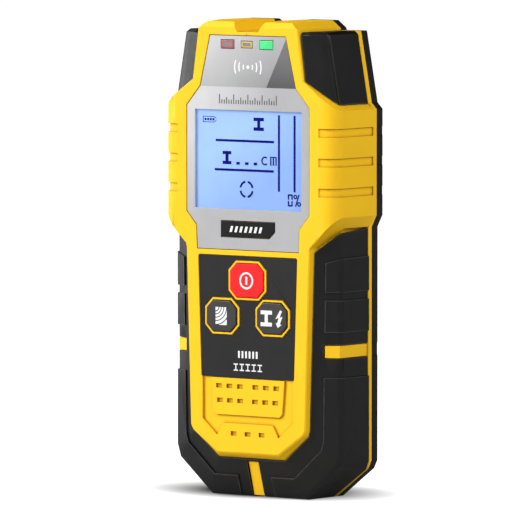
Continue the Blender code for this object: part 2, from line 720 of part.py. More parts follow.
def make_lead(name, side):
    """A battery lead from the snap up to the back of the main board."""
    knots = [(LEAD_X, 18.5, 61.2), (LEAD_X, 18.5, 64.0), (3.0, 18.0, 68.5), (3.6, 15.6, 73.0),
             (3.9, 12.6, 75.6), (3.9, BOARD_FRONT + BOARD_THICK + GAP, 76.0)]
    route = smooth_route([point(side * x, d, z) for x, d, z in knots], 4)
    curve = bpy.data.curves.new(f"battery_lead_{name}", "CURVE")
    curve.dimensions = "3D"
    curve.bevel_depth = 0.6 * MM
    curve.bevel_resolution = 2
    curve.use_fill_caps = True
    spline = curve.splines.new("POLY")
    spline.points.add(len(route) - 1)
    for spot, place in zip(spline.points, route):
        spot.co = (*place, 1.0)
    new_object(f"battery_lead_{name}", curve, f"wire_{name}")


def smooth_route(knots, steps):
    """Points on a Catmull-Rom curve through the knots."""
    ends = [knots[0] * 2 - knots[1]] + knots + [knots[-1] * 2 - knots[-2]]
    route = []
    for i in range(1, len(ends) - 2):
        a, b, c, d = ends[i - 1:i + 3]
        for step in range(steps):
            t = step / steps
            route.append(0.5 * (2 * b + (c - a) * t + (2 * a - 5 * b + 4 * c - d) * t * t
                                + (3 * b - a - 3 * c + d) * t ** 3))
    return route + [knots[-1]]


# ---------------------------------------------------------------- back

def make_rear_shell():
    start = PARTING + GAP
    full = both_sides(FULL)
    shell = loft("rear_shell", [flat_ring(full, start), flat_ring(full, BACK - BACK_CHAMFER),
                                flat_ring(inset(full, BACK_CHAMFER), BACK)], "black")
    floor = BACK - WALL
    room = [(x, min(z, CAVITY_TOP)) for x, z in inset(full, WALL + 0.2)]
    cut(shell, prism("room", room, PARTING - 1, floor))
    parts = [rod("tower", x, z, 3.9, start, floor + 0.3) for x, z in mirrored(CASE_SCREWS)]
    parts += [rod("post", x, z, 2.0, 29.9, floor + 0.3)
              for x, z in mirrored(SENSOR_POSTS)]
    parts += [box("ear", (min(side * 14.5, side * 18.2), max(side * 14.5, side * 18.2)),
                  (29.8, floor + 0.3), (HINGE_Z - 2.4, HINGE_Z + 2.6)) for side in (-1, 1)]
    weld(shell, *parts)
    tools = [rod("bore", x, z, 1.2, PARTING - 1, 32.0, segments=12)
             for x, z in mirrored(CASE_SCREWS)]
    tools += [rod("bore", x, z, 1.0, PARTING - 1, 31.9, segments=12)
              for x, z in mirrored(SENSOR_SCREWS)]
    cut(shell, *tools)
    tools = [rod("sink", x, z, 2.8, 31.3, 40) for x, z in mirrored(CASE_SCREWS)]
    tools += [rod("pocket", x, z, GLIDE_R + GAP, GLIDE_FRONT - GAP, 40, segments=32)
              for x, z in mirrored(GLIDES)]
    tools.append(box("opening", (-DOOR_HALF - 0.4, DOOR_HALF + 0.4), (28, 40),
                     (DOOR_LOW - 0.4, HINGE_Z + HINGE_R + 0.4)))
    cut(shell, *tools)
    cut(shell, cross_rod("bore", (-17.1, 17.1), HINGE_D, HINGE_Z, PIN_R + GAP))
    cut(shell, notch_channel(PARTING - 1, 40), *edge_nicks(), finger_scoop())
    return shell


def finger_scoop():
    """A shallow scoop under the battery door, for a finger nail."""
    return box("scoop", (-6, 6), (BACK - 1.0, 40), (DOOR_LOW - 3.0, DOOR_LOW))


def edge_nicks():
    """Small nicks in the rear shell's edge that carry on the slots in the front shell."""
    heights = [(z - RIB_HEIGHT, z, BULGE_HALF - 0.6) for z in RIB_TOPS]
    heights.append((BAND_LOW, BAND_HIGH, BODY_HALF - 0.6))
    nicks = []
    for low, high, x in heights:
        nicks.append(box("nick", (x, 50), (PARTING - 1, 40), (low, high)))
        nicks.append(box("nick", (-50, -x), (PARTING - 1, 40), (low, high)))
    return nicks


def make_door():
    """The battery door, whose round top end turns on its pin."""
    arc = [math.radians(angle) for angle in range(0, 271, 30)]
    profile = [(HINGE_D, DOOR_LOW), (BACK, DOOR_LOW)]
    profile += [(HINGE_D + HINGE_R * math.cos(a), HINGE_Z + HINGE_R * math.sin(a)) for a in arc]
    rings = [[point(x, d, z) for d, z in profile] for x in (-DOOR_HALF, DOOR_HALF)]
    door = loft("battery_door", rings, "black")
    grooves = [box("groove", (-5, 5), (BACK - 0.6, 40), (z, z + 1.0)) for z in (15, 17.4, 19.8)]
    cut(door, cross_rod("bore", (-20, 20), HINGE_D, HINGE_Z, PIN_R + GAP), *grooves,
        box("lip", (-6, 6), (BACK - 1.0, 40), (5, DOOR_LOW + 1.6)))
    box("door_foam", (-9, 9), (31.2, 32.1), (22, 48), "foam")
    cross_rod("hinge_pin", (-16.8, 16.8), HINGE_D, HINGE_Z, PIN_R, "steel")


def make_fasteners():
    for i, (x, z) in enumerate(mirrored(CASE_SCREWS), 1):
        make_screw(f"case_screw_{i}", x, z, 2.4, 0.9, 33.4, 31.6, 17.0)
    for i, (x, z) in enumerate(mirrored(GLIDES), 1):
        rod(f"glide_pad_{i}", x, z, GLIDE_R, GLIDE_FRONT, GLIDE_BACK, "felt", segments=32)


# ---------------------------------------------------------------- build

def set_origins():
    """Put each moving piece's origin on its joint."""
    for name, (x, z, _, _) in BUTTONS.items():
        move_origin(f"{name}_button", point(x, 0, z))
    for name in ("battery_door", "door_foam"):
        move_origin(name, point(0, HINGE_D, HINGE_Z))


def move_origin(name, place):
    piece = bpy.data.objects[name]
    for vertex in piece.data.vertices:
        vertex.co -= place
    piece.location = place


def shade(piece):
    piece.data.shade_smooth()
    piece.data.set_sharp_from_angle(angle=math.radians(30))


def main():
    for old in list(bpy.data.objects):
        bpy.data.objects.remove(old)
    make_front_shell()
    make_lower_grip()
    make_upper_grip(1)
    make_upper_grip(-1)
    make_window()
    make_display()
    make_indicators()
    make_keypad()
    make_boards()
    make_battery()
    make_rear_shell()
    make_door()
    make_fasteners()
    set_origins()
    for piece in bpy.data.objects:
        if piece.type == "MESH":
            shade(piece)


main()
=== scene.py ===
import json
import math

import bmesh
import bpy
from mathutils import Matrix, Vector


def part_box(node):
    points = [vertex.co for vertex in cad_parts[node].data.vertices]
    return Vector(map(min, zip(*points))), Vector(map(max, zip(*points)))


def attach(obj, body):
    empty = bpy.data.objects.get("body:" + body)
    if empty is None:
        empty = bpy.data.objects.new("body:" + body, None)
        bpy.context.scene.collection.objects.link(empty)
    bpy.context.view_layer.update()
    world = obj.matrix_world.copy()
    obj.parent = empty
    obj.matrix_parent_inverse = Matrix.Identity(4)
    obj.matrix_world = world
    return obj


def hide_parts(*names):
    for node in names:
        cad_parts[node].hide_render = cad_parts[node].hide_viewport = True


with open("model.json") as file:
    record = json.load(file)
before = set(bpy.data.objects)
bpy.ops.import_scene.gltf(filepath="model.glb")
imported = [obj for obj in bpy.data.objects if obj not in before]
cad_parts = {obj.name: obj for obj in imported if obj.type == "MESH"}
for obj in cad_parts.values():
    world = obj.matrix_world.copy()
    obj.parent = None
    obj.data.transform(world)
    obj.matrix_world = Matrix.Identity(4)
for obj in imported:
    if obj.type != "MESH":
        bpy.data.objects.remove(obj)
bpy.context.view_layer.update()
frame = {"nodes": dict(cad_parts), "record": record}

MM = 0.001
NODES = frame["nodes"]
BODIES = frame["record"]["behaviour"]["bodies"]
BODY_OF = {node: body for body, members in BODIES.items() for node in members}
SLOT_OF = {row["node"]: row["material_slot"] for row in frame["record"]["subparts"]}

# The front face's plane: the window's face lies this far behind it.
WINDOW_SET_BACK = 0.3 * MM
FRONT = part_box("display_window")[0].y - WINDOW_SET_BACK


def place(x, d, z):
    """A point in metres from x, depth behind the front face and z in millimetres."""
    return Vector((x * MM, FRONT + d * MM, z * MM))


# ---------------------------------------------------------------- materials

NOISE_ROUGHNESS = 0.55


class Nodes:
    """A short way to build a node tree."""

    def __init__(self, name):
        self.material = bpy.data.materials.new(name)
        self.material.use_nodes = True
        self.tree = self.material.node_tree
        self.shader = self.tree.nodes["Principled BSDF"]
        self.coords = self.add("ShaderNodeTexCoord")

    def add(self, kind, **settings):
        node = self.tree.nodes.new(kind)
        for key, value in settings.items():
            setattr(node, key, value)
        return node

    def link(self, source, target):
        self.tree.links.new(source, target)

    def noise(self, scale, detail=3.0):
        noise = self.add("ShaderNodeTexNoise")
        noise.inputs["Scale"].default_value = scale
        noise.inputs["Detail"].default_value = detail
        noise.inputs["Roughness"].default_value = NOISE_ROUGHNESS
        self.link(self.coords.outputs["Object"], noise.inputs["Vector"])
        return noise.outputs["Fac"]

    def ramp(self, factor, stops):
        """A colour ramp through (position, colour) stops."""
        ramp = self.add("ShaderNodeValToRGB")
        elements = ramp.color_ramp.elements
        while len(elements) < len(stops):
            elements.new(0.5)
        for element, (position, colour) in zip(elements, stops):
            element.position = position
            element.color = (*colour, 1.0)
        self.link(factor, ramp.inputs["Fac"])
        return ramp.outputs["Color"]

    def remap(self, value, low, high, new_low, new_high):
        span = self.add("ShaderNodeMapRange")
        self.link(value, span.inputs["Value"])
        for key, number in (("From Min", low), ("From Max", high), ("To Min", new_low),
                            ("To Max", new_high)):
            span.inputs[key].default_value = number
        return span.outputs["Result"]

    def mix(self, factor, first, second, blend="MIX"):
        mix = self.add("ShaderNodeMix", data_type="RGBA", blend_type=blend)
        for socket, value in ((mix.inputs["Factor"], factor), (mix.inputs["A"], first),
                              (mix.inputs["B"], second)):
            if hasattr(value, "links"):
                self.link(value, socket)
            else:
                socket.default_value = value if isinstance(value, float) else (*value, 1.0)
        return mix.outputs["Result"]

    def math(self, operation, first, second):
        node = self.add("ShaderNodeMath", operation=operation)
        for socket, value in zip(node.inputs, (first, second)):
            if hasattr(value, "links"):
                self.link(value, socket)
            else:
                socket.default_value = value
        return node.outputs["Value"]

    def bump(self, height, distance, strength):
        bump = self.add("ShaderNodeBump")
        bump.inputs["Strength"].default_value = strength
        bump.inputs["Distance"].default_value = distance
        self.link(height, bump.inputs["Height"])
        self.link(bump.outputs["Normal"], self.shader.inputs["Normal"])

    def closeness(self, distance, inside=False):
        """1 on open flat faces, and less near a crease, or near an edge when seen from inside."""
        node = self.add("ShaderNodeAmbientOcclusion", samples=8, only_local=True, inside=inside)
        node.inputs["Distance"].default_value = distance
        return node.outputs["AO"]

    def axis(self, name):
        split = self.add("ShaderNodeSeparateXYZ")
        self.link(self.coords.outputs["Object"], split.inputs["Vector"])
        return split.outputs[name]


CREASE_SHADE_REACH = 1.6 * MM              # how far round a crease its colour deepens as painted shade
EDGE_REACH = 0.5 * MM                # how far from an edge it is made paler, as rubbed wear and painted highlight
WHITE = (0.85, 0.85, 0.85)


def shade_of(colour, factor):
    return tuple(min(1.0, c * factor) for c in colour)


def moulded(name, colour, roughness, grain=0.012, grain_scale=2600, vary=0.05, wear_and_highlight=0.0,
            worn_and_lit=WHITE, specular=0.5, sheen=0.0, crease_shade=None):
    """Moulded plastic or rubber: cloudy colour, fine grain, edges made paler as rubbed wear and
    painted highlight, and painted shade deepening the creases.
    """
    n = Nodes(name)
    cloud = n.noise(55, 4.0)
    base = n.ramp(cloud, [(0.3, shade_of(colour, 1 - vary)), (0.7, shade_of(colour, 1 + vary))])
    # Painted highlight, partly rubbed wear: convex edges are made paler, broken up by noise.
    if wear_and_highlight:
        rubbed_and_lit = n.remap(n.closeness(EDGE_REACH, True), 0.95, 0.7, 0.0, wear_and_highlight)
        scuffed_and_lit = n.math("MULTIPLY", rubbed_and_lit, n.remap(n.noise(320, 5.0), 0.35, 0.6, 0.4, 1.0))
        base = n.mix(scuffed_and_lit, base, worn_and_lit)
    # Painted shade: the colour deepens towards creases, recesses and slots, where shade falls.
    if crease_shade:
        base = n.mix(n.remap(n.closeness(CREASE_SHADE_REACH), 0.45, 0.95, 0.0, 1.0), crease_shade, base)
    n.link(base, n.shader.inputs["Base Color"])
    rough = n.remap(n.noise(190, 4.0), 0.3, 0.7, roughness - 0.05, roughness + 0.06)
    n.link(rough, n.shader.inputs["Roughness"])
    n.shader.inputs["Specular IOR Level"].default_value = specular
    n.shader.inputs["Sheen Weight"].default_value = sheen
    n.bump(n.noise(grain_scale, 2.0), grain * MM, 0.8)
    return n.material


def metal(name, colour, roughness):
    """Plain metal, slightly uneven in tone and polish."""
    n = Nodes(name)
    base = n.ramp(n.noise(300, 4.0), [(0.3, shade_of(colour, 0.85)), (0.7, shade_of(colour, 1.1))])
    n.link(base, n.shader.inputs["Base Color"])
    n.shader.inputs["Metallic"].default_value = 1.0
    n.link(n.remap(n.noise(700, 3.0), 0.3, 0.7, roughness - 0.08, roughness + 0.1),
           n.shader.inputs["Roughness"])
    n.bump(n.noise(900, 3.0), 0.01 * MM, 0.5)
    return n.material


LENS_ROUGHNESS = 0.15


def glowing(name, colour, strength):
    """A tinted lens that gives off light: the light behind it where the indicator is lit, a
    painted glow where it is unlit.
    """
    n = Nodes(name)
    tone = n.ramp(n.noise(260, 2.0), [(0.3, shade_of(colour, 0.9)), (0.7, shade_of(colour, 1.1))])
    n.link(tone, n.shader.inputs["Base Color"])
    n.link(tone, n.shader.inputs["Emission Color"])
    n.shader.inputs["Emission Strength"].default_value = strength
    n.link(n.remap(n.noise(400), 0.3, 0.7, LENS_ROUGHNESS - 0.04, LENS_ROUGHNESS + 0.04),
           n.shader.inputs["Roughness"])
    n.bump(n.noise(900, 2.0), 0.004 * MM, 0.4)
    return n.material


YELLOW = (1.0, 0.575, 0.014)
# The colour of the painted shade in the yellow shell's creases.
CREASE_SHADE_GOLD = (0.42, 0.19, 0.008)
BLACK = (0.011, 0.011, 0.0115)
NAVY = (0.003, 0.003, 0.16)

WINDOW_SPLIT_Z = 169.7 * MM         # the printed window changes tone at this height
WINDOW_TOP_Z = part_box("display_window")[1].z


def window_print_and_reflection():
    """The printed grey window, graded lighter towards its top and its left, with a painted
    reflection: a dark corner beyond a slanted edge above, and a pale diagonal sheen below.
    """
    n = Nodes("window_grey")
    x, z = n.axis("X"), n.axis("Z")
    rise = n.remap(z, WINDOW_SPLIT_Z, WINDOW_TOP_Z, 0.0, 1.0)
    left = n.ramp(rise, [(0.0, (0.46, 0.46, 0.465)), (1.0, (0.62, 0.62, 0.63))])
    right = n.ramp(rise, [(0.0, (0.29, 0.29, 0.295)), (1.0, (0.46, 0.46, 0.47))])
    upper = n.mix(n.remap(x, -20 * MM, 12 * MM, 0.0, 1.0), left, right)
    # Painted reflection: a dark corner beyond a slanted edge in the upper field.
    corner = n.ramp(rise, [(0.0, (0.09, 0.09, 0.093)), (1.0, (0.2, 0.2, 0.205))])
    slant = n.math("SUBTRACT", x, n.remap(z, WINDOW_SPLIT_Z, 190 * MM, 9.4 * MM, 19.6 * MM))
    inside = n.remap(slant, -0.1 * MM, 0.1 * MM, 0.0, 1.0)
    upper = n.mix(inside, upper, corner)
    # Painted reflection: a pale sheen that falls off across a diagonal in the lower field.
    sheen = n.math("SUBTRACT", x, n.remap(z, 114 * MM, 166 * MM, -37 * MM, 0.0))
    lower = n.ramp(n.remap(sheen, -24 * MM, 13 * MM, 0.0, 1.0),
                   [(0.0, (0.64, 0.64, 0.65)), (1.0, (0.435, 0.435, 0.445))])
    above = n.remap(z, WINDOW_SPLIT_Z - 0.1 * MM, WINDOW_SPLIT_Z + 0.1 * MM, 0.0, 1.0)
    tone = n.mix(above, lower, upper)
    haze = n.ramp(n.noise(120, 3.0), [(0.3, (0.95, 0.95, 0.95)), (0.7, (1.0, 1.0, 1.0))])
    n.link(n.mix(1.0, tone, haze, "MULTIPLY"), n.shader.inputs["Base Color"])
    n.link(n.remap(n.noise(90, 3.0), 0.3, 0.7, 0.16, 0.24), n.shader.inputs["Roughness"])
    n.bump(n.noise(500, 2.0), 0.003 * MM, 0.4)
    return n.material


def lcd_face():
    """The lit display: pale blue, with a painted sheen that makes it paler at the top left, and
    fine bumps.
    """
    n = Nodes("lcd_blue")
    x, z = n.axis("X"), n.axis("Z")
    # Painted sheen: the blue pales towards the top left.
    painted_sheen_slope = n.math("ADD", z, n.math("MULTIPLY", x, -0.7))
    low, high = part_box("lcd_glass")[0].z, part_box("lcd_glass")[1].z
    tone = n.ramp(n.remap(painted_sheen_slope, low, high, 0.0, 1.0),
                  [(0.15, (0.225, 0.37, 0.78)), (0.85, (0.31, 0.485, 0.93))])
    mottle = n.ramp(n.noise(140, 3.0), [(0.3, (0.96, 0.96, 0.96)), (0.7, (1.0, 1.0, 1.0))])
    tone = n.mix(1.0, tone, mottle, "MULTIPLY")
    n.link(tone, n.shader.inputs["Base Color"])
    n.link(tone, n.shader.inputs["Emission Color"])
    n.shader.inputs["Emission Strength"].default_value = 0.2
    n.link(n.remap(n.noise(200), 0.3, 0.7, 0.1, 0.18), n.shader.inputs["Roughness"])
    n.bump(n.noise(1500, 1.0), 0.002 * MM, 0.3)
    return n.material


def board():
    """A circuit board: green mask over darker tracks."""
    n = Nodes("board_green")
    upright = n.add("ShaderNodeMapping")
    upright.inputs["Rotation"].default_value = (math.pi / 2, 0, 0)
    n.link(n.coords.outputs["Object"], upright.inputs["Vector"])
    lines = n.add("ShaderNodeTexBrick", offset=0.37, offset_frequency=3, squash=0.4,
                  squash_frequency=4)
    n.link(upright.outputs["Vector"], lines.inputs["Vector"])
    for key, number in (("Scale", 130), ("Mortar Size", 0.03), ("Brick Width", 3.4),
                        ("Row Height", 0.16)):
        lines.inputs[key].default_value = number
    lines.inputs["Color1"].default_value = (0.012, 0.13, 0.045, 1)
    lines.inputs["Color2"].default_value = (0.018, 0.17, 0.06, 1)
    lines.inputs["Mortar"].default_value = (0.05, 0.3, 0.1, 1)
    n.link(lines.outputs["Color"], n.shader.inputs["Base Color"])
    n.link(n.remap(n.noise(300), 0.3, 0.7, 0.3, 0.45), n.shader.inputs["Roughness"])
    n.bump(lines.outputs["Fac"], 0.03 * MM, 0.4)
    return n.material


def wound_copper(coil):
    """Enamelled wire wound in rings round a coil's middle."""
    n = Nodes("copper")
    low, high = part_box(coil)
    centred = n.add("ShaderNodeMapping")
    centred.inputs["Location"].default_value = (-(low.x + high.x) / 2, 0, -(low.z + high.z) / 2)
    n.link(n.coords.outputs["Object"], centred.inputs["Vector"])
    turns = n.add("ShaderNodeTexWave", wave_type="RINGS", rings_direction="Y")
    turns.inputs["Scale"].default_value = 520
    turns.inputs["Distortion"].default_value = 0.3
    n.link(centred.outputs["Vector"], turns.inputs["Vector"])
    n.link(n.ramp(turns.outputs["Fac"], [(0.1, (0.25, 0.07, 0.03)), (0.6, (0.8, 0.34, 0.17))]),
           n.shader.inputs["Base Color"])
    n.shader.inputs["Metallic"].default_value = 0.9
    n.link(n.remap(n.noise(700, 3.0), 0.3, 0.7, 0.25, 0.4), n.shader.inputs["Roughness"])
    n.bump(turns.outputs["Fac"], 0.1 * MM, 0.7)
    return n.material


def battery_jacket():
    """A printed metal jacket: copper coloured at its terminal end and dark below."""
    n = Nodes("battery_case")
    low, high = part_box("battery_9v")[0].z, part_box("battery_9v")[1].z
    level = n.remap(n.axis("Z"), low, high, 0.0, 1.0)
    band = n.remap(level, 0.66, 0.665, 0.0, 1.0)
    dark = n.ramp(n.noise(40, 2.0), [(0.3, (0.02, 0.021, 0.026)), (0.7, (0.03, 0.031, 0.037))])
    warm = n.ramp(n.noise(60, 3.0), [(0.3, (0.62, 0.26, 0.09)), (0.7, (0.74, 0.34, 0.13))])
    n.link(n.mix(band, dark, warm), n.shader.inputs["Base Color"])
    n.link(n.remap(band, 0.0, 1.0, 0.15, 0.85), n.shader.inputs["Metallic"])
    n.link(n.remap(n.noise(200, 3.0), 0.3, 0.7, 0.26, 0.38), n.shader.inputs["Roughness"])
    n.bump(n.noise(1200, 2.0), 0.002 * MM, 0.3)
    return n.material


MATERIALS = {
    "yellow_shell": moulded("yellow_shell", YELLOW, 0.45, vary=0.02, specular=0.14,
                            crease_shade=CREASE_SHADE_GOLD),
    "black_shell": moulded("black_shell", BLACK, 0.45, grain=0.02, grain_scale=1900,
                           specular=0.2),
    "rubber_grip": moulded("rubber_grip", (0.004, 0.004, 0.0043), 0.38, vary=0.12, wear_and_highlight=0.8,
                           worn_and_lit=(0.06, 0.06, 0.061), crease_shade=(0.001, 0.001, 0.001),
                           grain=0.02, grain_scale=1500, specular=0.36),
    "window_grey": window_print_and_reflection(),
    "badge_black": moulded("badge_black", (0.006, 0.006, 0.006), 0.3, grain=0.004, specular=0.2),
    "lcd_blue": lcd_face(),
    "backlight": moulded("backlight", (0.75, 0.78, 0.82), 0.4),
    "panel_grey": moulded("panel_grey", (0.0085, 0.0085, 0.009), 0.42, vary=0.08, specular=0.25),
    "button_red": moulded("button_red", (0.95, 0.012, 0.016), 0.42, vary=0.04, specular=0.2),
    "button_dark": moulded("button_dark", (0.016, 0.016, 0.017), 0.42, vary=0.1),
    # The red and amber indicators are unlit: their faint emission is a painted glow.
    "lens_red": glowing("lens_red", (0.42, 0.1, 0.11), 0.1),
    "lens_amber": glowing("lens_amber", (0.7, 0.48, 0.12), 0.05),
    "lens_green": glowing("lens_green", (0.07, 0.6, 0.2), 0.35),
    "led": glowing("led", (0.9, 0.88, 0.8), 0.1),
    "board_green": board(),
    "chip_black": moulded("chip_black", (0.02, 0.02, 0.02), 0.5, grain=0.01),
    "copper": wound_copper("detection_coil"),
    "steel": metal("steel", (0.6, 0.6, 0.6), 0.3),
    "battery_case": battery_jacket(),
    "wire_red": moulded("wire_red", (0.6, 0.02, 0.02), 0.45),
    "wire_black": moulded("wire_black", (0.02, 0.02, 0.02), 0.45),
    "foam": moulded("foam", (0.08, 0.08, 0.08), 0.95, grain=0.2, grain_scale=900, sheen=0.3),
    "felt": moulded("felt", (0.05, 0.05, 0.055), 0.95, grain=0.15, grain_scale=1400, sheen=0.5),
    "print_white": moulded("print_white", WHITE, 0.4, grain=0.003),
    "print_dark": moulded("print_dark", (0.05, 0.05, 0.055), 0.4, grain=0.003),
    "lcd_ink": moulded("lcd_ink", NAVY, 0.35, grain=0.002, specular=0.05),
    "pane_grey": moulded("pane_grey", (0.22, 0.2, 0.2), 0.3, grain=0.003),
    "tick_orange": moulded("tick_orange", (0.75, 0.2, 0.02), 0.5),
}


# ---------------------------------------------------------------- finer CAD pieces

MERGE = 0.005 * MM
FLAT_ANGLE = math.radians(0.5)
SHARP_ANGLE = math.radians(28)
BEVEL_SEGMENTS = 3


def dress(piece, material):
    piece.data.materials.clear()
    piece.data.materials.append(MATERIALS[material])


def mark_edges(shape, finest):
    """Mark the sharp edges to be rounded, and leave sharp those with a finer edge at an end."""
    weights = shape.edges.layers.float.new("bevel_weight_edge")
    fine = {v for e in shape.edges if e.calc_length() < finest * MM for v in e.verts}
    for edge in shape.edges:
        if edge.calc_face_angle(math.pi) > SHARP_ANGLE:
            if fine.isdisjoint(edge.verts):
                edge[weights] = 1.0
            else:
                edge.smooth = False


def refine(node, width, finest):
    """A copy of a CAD piece with whole flat faces and rounded edges, standing for it."""
    shape = bmesh.new()
    shape.from_mesh(NODES[node].data)
    bmesh.ops.remove_doubles(shape, verts=shape.verts, dist=MERGE)
    bmesh.ops.dissolve_limit(shape, angle_limit=FLAT_ANGLE, verts=shape.verts,
                             edges=shape.edges, delimit=set())
    bmesh.ops.connect_verts_concave(shape, faces=shape.faces)
    for face in shape.faces:
        face.smooth = True
    mark_edges(shape, finest)
    mesh = bpy.data.meshes.new(f"{node}_fine")
    shape.to_mesh(mesh)
    shape.free()
    piece = bpy.data.objects.new(f"{node}_fine", mesh)
    bpy.context.scene.collection.objects.link(piece)
    dress(piece, SLOT_OF[node])
    bevel = piece.modifiers.new("rounding", "BEVEL")
    bevel.width = width * MM
    bevel.segments = BEVEL_SEGMENTS
    bevel.limit_method = "WEIGHT"
    bevel.miter_outer = "MITER_ARC"
    flat = piece.modifiers.new("flat_faces", "WEIGHTED_NORMAL")
    flat.keep_sharp = True
    flat.weight = 100
    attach(piece, BODY_OF[node])
    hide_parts(node)


for name, node in NODES.items():
    dress(node, SLOT_OF[name])

# Each rounded piece with its edges' radius and the finest edge that may be rounded.
ROUNDING = {"front_shell": (0.32, 0.6), "rear_shell": (0.4, 0.55), "lower_grip": (0.35, 0.6),
            "upper_grip_left": (1.1, 0.9), "upper_grip_right": (1.1, 0.9),
            "display_window": (0.12, 0), "badge_plate": (0.12, 0), "keypad_panel": (0.08, 0),
            "power_button": (0.4, 0.5), "stud_button": (0.4, 0.5), "metal_button": (0.4, 0.5),
            "battery_door": (0.3, 0.6), "indicator_lens_red": (0.2, 0),
            "indicator_lens_amber": (0.2, 0), "indicator_lens_green": (0.2, 0),
            "lcd_glass": (0.1, 0), "lcd_backlight": (0.3, 0), "battery_9v": (0.5, 1.0),
            "buzzer": (0.3, 0), "microcontroller": (0.12, 0), "door_foam": (0.5, 0),
            **{f"glide_pad_{i}": (0.3, 0) for i in range(1, 5)}}
for name, (width, finest) in ROUNDING.items():
    refine(name, width, finest)


# ---------------------------------------------------------------- prints and symbols

# In millimetres: a symbol's thickness, and how far its face stands out of what it is on.
INK = 0.06
PROUD = 0.04
WINDOW_PROUD = 0.05
LCD_PROUD = 0.12
PANE_PROUD = 0.03
PANE_SHARE = 0.74           # part of an indicator's width that its pane takes
PANE_SQUAT = 0.8            # the pane's height is a smaller part by this factor


def arc(x, z, radius, start, end, steps=10):
    """Points (x, z) on an arc, with its angles in degrees."""
    turns = [math.radians(start + (end - start) * i / steps) for i in range(steps + 1)]
    return [(x + radius * math.cos(t), z + radius * math.sin(t)) for t in turns]


def sector(x, z, inner, outer, start, end):
    """The outline of a part of a ring."""
    return arc(x, z, outer, start, end) + arc(x, z, inner, end, start)


def ring(x, z, inner, outer):
    """A whole ring, as four parts that meet."""
    return [sector(x, z, inner, outer, 90 * i, 90 * (i + 1)) for i in range(4)]


def bar(x, z, width, height):
    """A rectangle round its middle."""
    w, h = width / 2, height / 2
    return [(x - w, z - h), (x + w, z - h), (x + w, z + h), (x - w, z + h)]


def beam(x, z, width, height, flange, web):
    """An I-beam symbol."""
    edge = (height - flange) / 2
    return [bar(x, z + edge, width, flange), bar(x, z - edge, width, flange),
            bar(x, z, web, height - 2 * flange + 0.02)]


def symbol(name, outlines, depth, material, body="root"):
    """Thin solids with the given outlines, their front faces at `depth`."""
    shape = bmesh.new()
    for outline in outlines:
        front = [shape.verts.new(place(x, depth, z)) for x, z in outline]
        back = [shape.verts.new(place(x, depth + INK, z)) for x, z in outline]
        shape.faces.new(front)
        shape.faces.new(list(reversed(back)))
        for i in range(len(front)):
            j = (i + 1) % len(front)
            shape.faces.new((front[i], back[i], back[j], front[j]))
    bmesh.ops.recalc_face_normals(shape, faces=shape.faces)
    mesh = bpy.data.meshes.new(name)
    shape.to_mesh(mesh)
    shape.free()
    piece = bpy.data.objects.new(name, mesh)
    bpy.context.scene.collection.objects.link(piece)
    dress(piece, material)
    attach(piece, body)


def depth_of(node):
    """Depth of a CAD piece's front behind the front face, in millimetres."""
    return (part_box(node)[0].y - FRONT) / MM


def middle_of(node):
    low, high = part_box(node)
    return (low.x + high.x) / 2 / MM, (low.z + high.z) / 2 / MM


def power_symbol():
    x, z = middle_of("power_button")
    outlines = ring(x, z, 2.75, 3.55) + [bar(x, z, 0.95, 3.3)]
    symbol("power_symbol", outlines, depth_of("power_button") - PROUD, "print_white",
           "power_button")


GRAIN = [(0.0, 1.5), (1.95, 2.75), (3.15, 4.1), (4.5, 5.5), (5.9, 7.1), (7.5, 9.6)]


def timber_symbol():
    """A block of timber with curved grain, growing from its top left corner."""
    x, z = middle_of("stud_button")
    width, height = 5.8, 7.4
    left, top = x - width / 2, z + height / 2
    outlines = []
    for inner, outer in GRAIN:
        near, far = [], []
        for step in range(31):
            turn = math.radians(3 * step)
            reach = min(width / max(math.cos(turn), 1e-6), height / max(math.sin(turn), 1e-6))
            if inner < reach:
                for edge, radius in ((near, inner), (far, min(outer, reach))):
                    edge.append((left + radius * math.cos(turn), top - radius * math.sin(turn)))
        outlines.append((near[:1] if inner == 0 else near) + far[::-1])
    symbol("timber_symbol", outlines, depth_of("stud_button") - PROUD, "print_white",
           "stud_button")


def metal_symbol():
    """An I-beam and a lightning arrow."""
    x, z = middle_of("metal_button")
    outlines = beam(x - 2.7, z, 5.8, 6.5, 1.6, 1.6)
    bolt = [(0.7, 3.6), (-1.7, -0.1), (0.0, 0.5), (-0.9, -1.9), (-1.6, -1.7), (-0.5, -3.7),
            (1.5, -2.4), (0.6, -2.2), (1.9, 1.0), (0.4, 0.5), (1.7, 3.2)]
    outlines.append([(x + 3.7 + px, z + pz) for px, pz in bolt])
    symbol("metal_symbol", outlines, depth_of("metal_button") - PROUD, "print_white",
           "metal_button")


def zero_digit(x, z, width, height, stroke):
    """A segment-style 0, open at both sides of its waist."""
    w, h = width / 2, height / 2
    arms = []
    for side in (-1, 1):
        arms.append(bar(x + side * (w - stroke / 2), z + h / 2 + 0.1, stroke, h - 0.4))
        arms.append(bar(x + side * (w - stroke / 2), z - h / 2 - 0.1, stroke, h - 0.4))
    return arms + [bar(x, z + h - stroke / 2, width - stroke, stroke),
                   bar(x, z - h + stroke / 2, width - stroke, stroke)]


def slash(x, z, width, height, stroke):
    w, h, s = width / 2, height / 2, stroke / 2
    return [(x - w - s, z - h), (x - w + s, z - h), (x + w + s, z + h), (x + w - s, z + h)]


